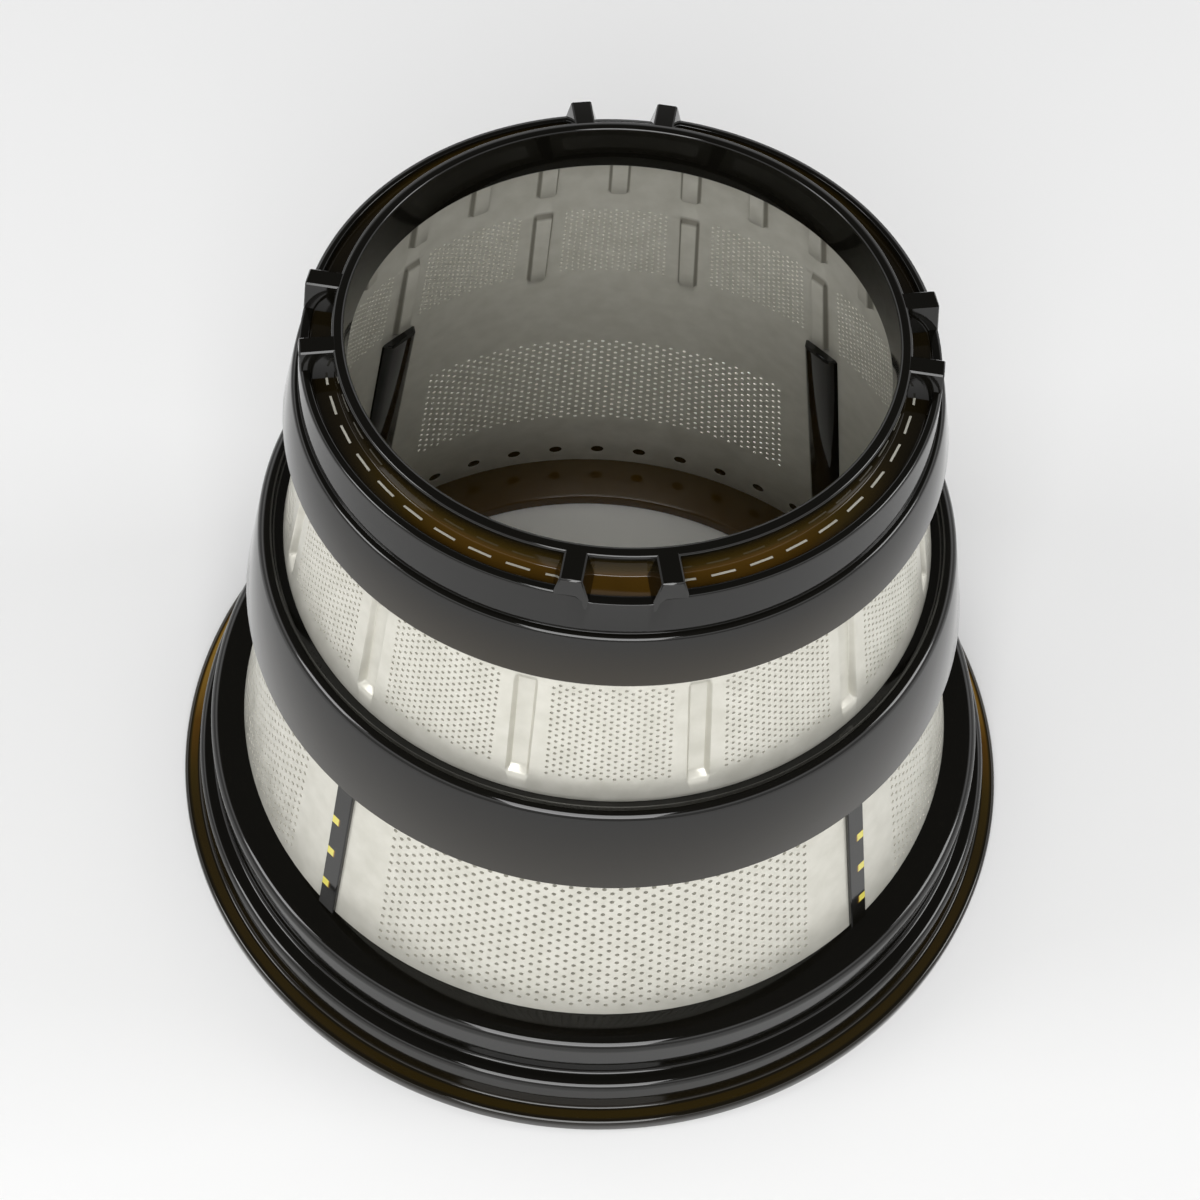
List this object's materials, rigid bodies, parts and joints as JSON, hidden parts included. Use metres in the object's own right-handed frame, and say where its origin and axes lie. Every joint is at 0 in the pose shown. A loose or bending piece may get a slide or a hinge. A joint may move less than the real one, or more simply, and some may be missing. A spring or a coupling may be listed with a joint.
{
  "type": "juicer mesh screen",
  "caption": "Conical perforated steel strainer for a juicer, moulded into a stepped wide flange with a ribbed middle band and a toothed ring at the narrow end.",
  "frame": {"origin": "centre of the wide end, on the surface it stands on", "axes": "+Z along the cone's axis, up towards the narrow ring; one tooth pair of the narrow ring faces -Y"},
  "size_m": [0.11, 0.11, 0.085],
  "materials": {
    "smoked_plastic": "smoked translucent moulding, glossy",
    "stainless_sheet": "etched and pressed thin stainless sheet, satin"
  },
  "bodies": {
    "root": {"narrow_ring": "smoked_plastic", "screen": "stainless_sheet", "lower_frame": "smoked_plastic"}
  },
  "joints": []
}
